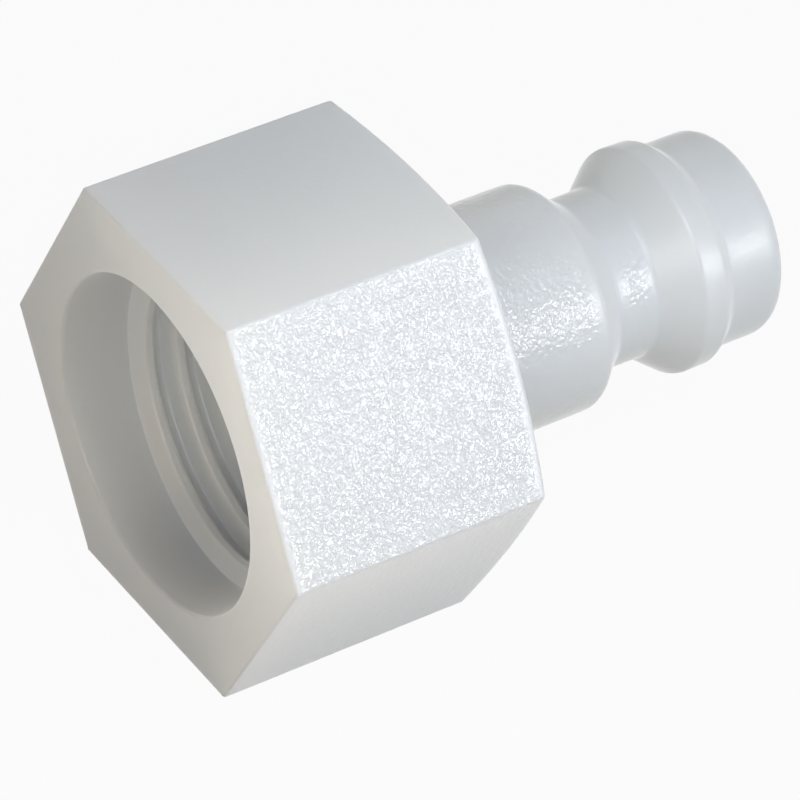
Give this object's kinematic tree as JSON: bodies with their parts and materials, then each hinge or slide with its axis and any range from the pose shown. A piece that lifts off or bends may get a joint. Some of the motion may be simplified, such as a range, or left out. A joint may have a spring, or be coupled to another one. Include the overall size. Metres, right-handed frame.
{
  "type": "female threaded plug",
  "caption": "Moulded hexagon plug with an internally threaded socket at one end and a grooved quick-connect spigot at the other, bored through for flow.",
  "frame": {"origin": "centre of the threaded mouth, on the hexagon's front face", "axes": "+X along the axis towards the spigot's tip, +Z square to the hexagon's top flat; the hexagon lies on its lower flat, at z = -8.5 mm"},
  "size_m": [0.0254, 0.0196, 0.017],
  "materials": {
    "natural_plastic": "milky translucent natural plastic with a fine spark-eroded grain"
  },
  "bodies": {
    "root": {"plug_body": "natural_plastic"}
  },
  "joints": []
}
